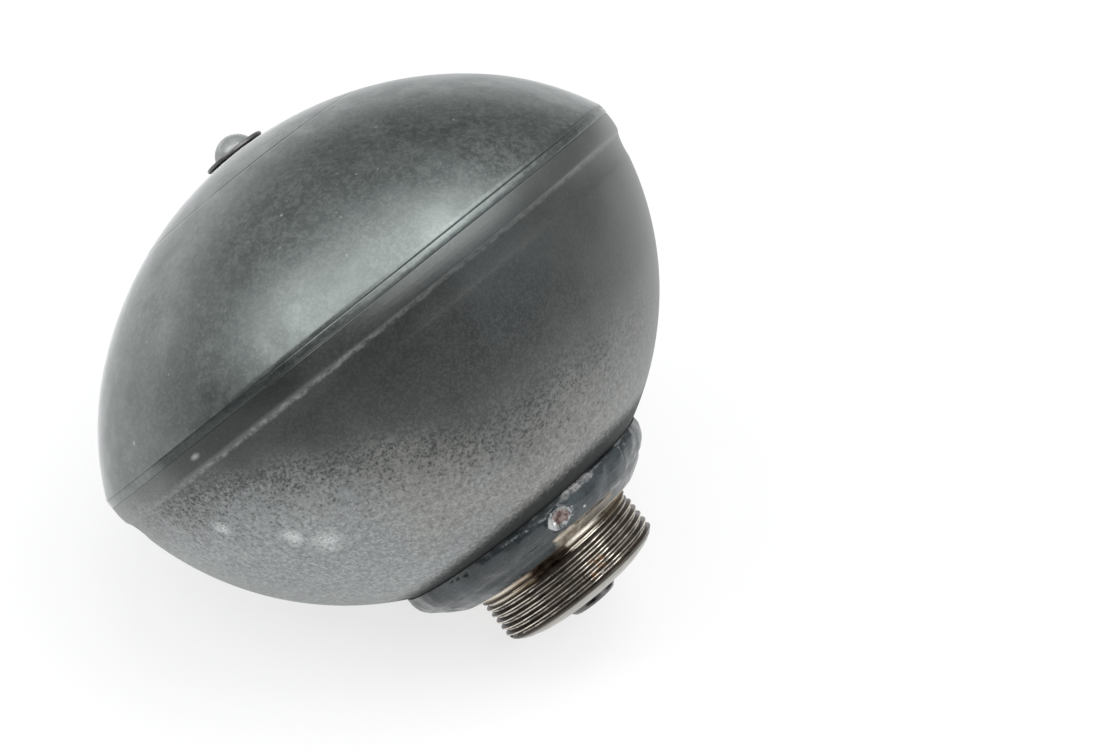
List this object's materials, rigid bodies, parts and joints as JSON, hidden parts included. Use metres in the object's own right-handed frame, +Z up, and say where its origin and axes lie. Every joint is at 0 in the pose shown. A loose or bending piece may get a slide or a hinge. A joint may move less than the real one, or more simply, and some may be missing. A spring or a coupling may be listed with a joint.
{
  "type": "suspension sphere",
  "caption": "Gas-spring suspension sphere of shells welded at a seam, with a domed fill plug, a welded collar and a threaded neck that holds a damper valve, lying on its side.",
  "frame": {"origin": "middle of the underside of the lying part, on the surface that it rests on", "axes": "+Z up; the axis of revolution lies in the XZ plane and slopes down towards +X, where the threaded neck is; +Y across"},
  "size_m": [0.1081, 0.1206, 0.106],
  "materials": {
    "shell_paint": "satin dark grey-green paint, finely speckled",
    "dusty_paint": "the same dark paint under a pale dusty overspray",
    "collar_paint": "slate blue-grey paint over a lumpy weld, chipped in one place",
    "neck_steel": "turned steel, bronze at the relief and brown-grey at the thread",
    "plug_paint": "satin grey paint",
    "seal_rubber": "black rubber",
    "diaphragm_rubber": "black rubber",
    "pressed_steel": "plain pressed steel",
    "valve_steel": "ground steel",
    "nut_steel": "dark steel",
    "spring_steel": "thin blue-grey spring steel"
  },
  "bodies": {
    "root": {"gas_shell": "shell_paint", "seam_weld": "shell_paint", "fluid_shell": "dusty_paint", "neck_weld": "collar_paint", "neck_fitting": "neck_steel", "fill_plug": "plug_paint", "fill_plug_washer": "plug_paint", "fill_plug_seal": "seal_rubber", "damper_seal": "seal_rubber", "diaphragm": "diaphragm_rubber", "diaphragm_button": "pressed_steel", "clamp_ring": "pressed_steel", "damper_body": "valve_steel", "damper_ring": "valve_steel", "damper_pin": "valve_steel", "damper_nut": "nut_steel", "bump_disc_1": "spring_steel", "bump_disc_2": "spring_steel", "bump_disc_3": "spring_steel", "bump_spacer": "valve_steel", "rebound_disc_1": "spring_steel", "rebound_disc_2": "spring_steel", "rebound_disc_3": "spring_steel", "rebound_spacer": "valve_steel"}
  },
  "joints": []
}
